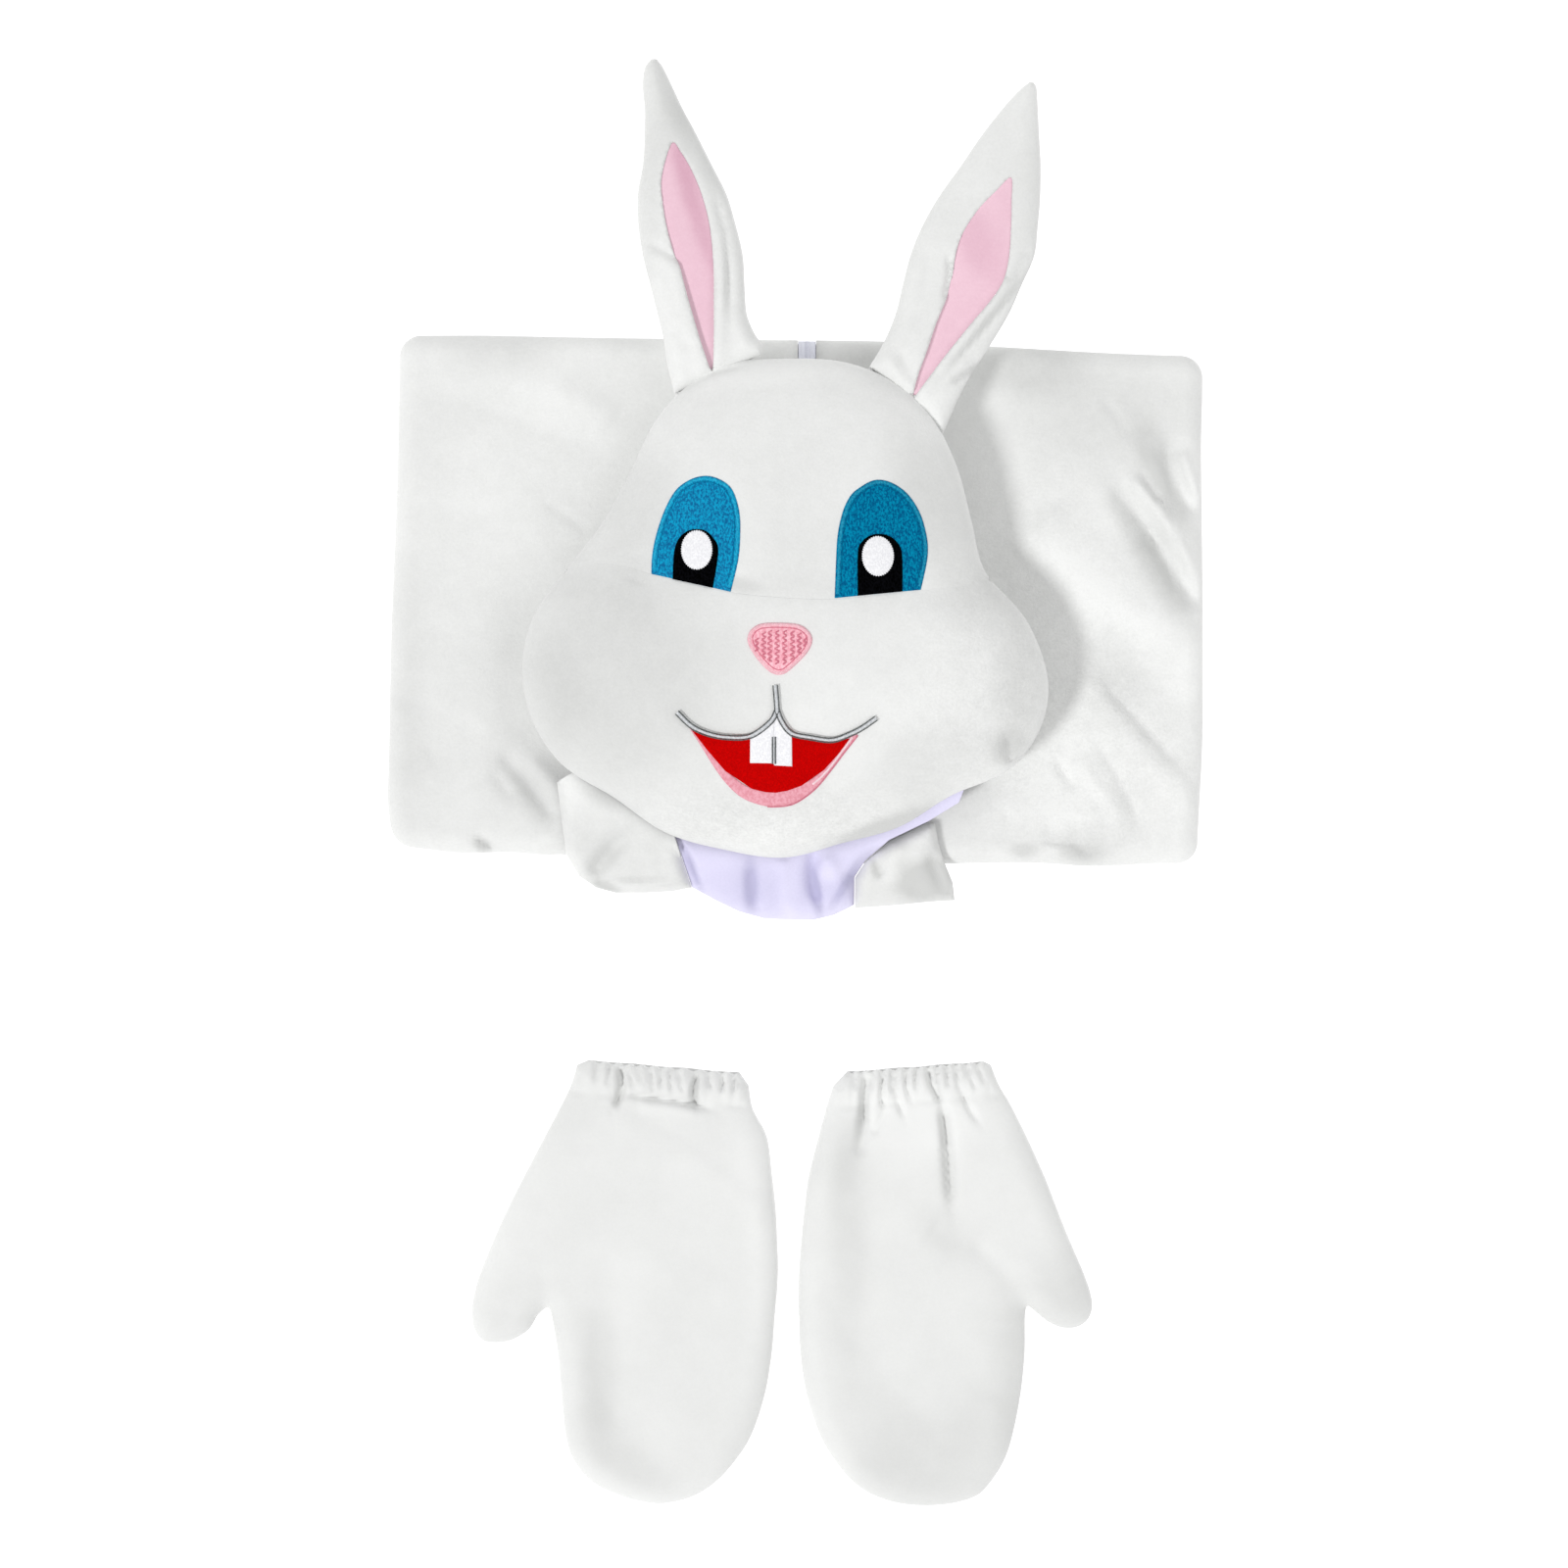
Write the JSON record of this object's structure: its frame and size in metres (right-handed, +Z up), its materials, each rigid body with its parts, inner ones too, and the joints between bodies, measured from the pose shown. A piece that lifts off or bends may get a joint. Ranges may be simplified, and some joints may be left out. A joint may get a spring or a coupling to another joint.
{
  "type": "bunny costume",
  "caption": "Adult bunny costume laid flat: folded white plush jumpsuit, padded hood with pink-lined ears and a stitched face, and a pair of mittens.",
  "frame": {"origin": "centre of the bounding box in plan, on the table under the folded jumpsuit", "axes": "+Y from the mittens to the tips of the ears, +X to the costume's left as it lies face up (the picture's right), +Z up off the table"},
  "size_m": [0.4934, 0.8676, 0.1257],
  "materials": {
    "plush": "short-pile white plush, soft matt nap",
    "pink_plush": "short-pile pink plush, soft matt nap",
    "lining": "smooth lilac-white satin lining",
    "zip_tape": "woven zip tape, pale lilac",
    "blue_applique": "satin applique with a stitched edge",
    "black_applique": "satin applique",
    "white_applique": "satin-stitched white",
    "rose_applique": "satin-stitched pink",
    "red_applique": "red satin applique"
  },
  "bodies": {
    "root": {"folded_layers": "plush", "front_left": "plush", "front_right": "plush", "zip_tape": "zip_tape", "head_back": "plush", "face_upper": "plush", "muzzle": "plush", "neck_lining": "lining", "neck_flap_left": "plush", "neck_flap_right": "plush", "ear_left": "plush", "ear_right": "plush", "inner_ear_left": "pink_plush", "inner_ear_right": "pink_plush", "eye_left": "blue_applique", "eye_right": "blue_applique", "pupil_left": "black_applique", "pupil_right": "black_applique", "glint_left": "white_applique", "glint_right": "white_applique", "nose": "rose_applique", "mouth": "red_applique", "lip": "rose_applique", "tooth_left": "white_applique", "tooth_right": "white_applique", "mitten_left_back": "plush", "mitten_left_palm": "plush", "mitten_right_back": "plush", "mitten_right_palm": "plush"}
  },
  "joints": []
}
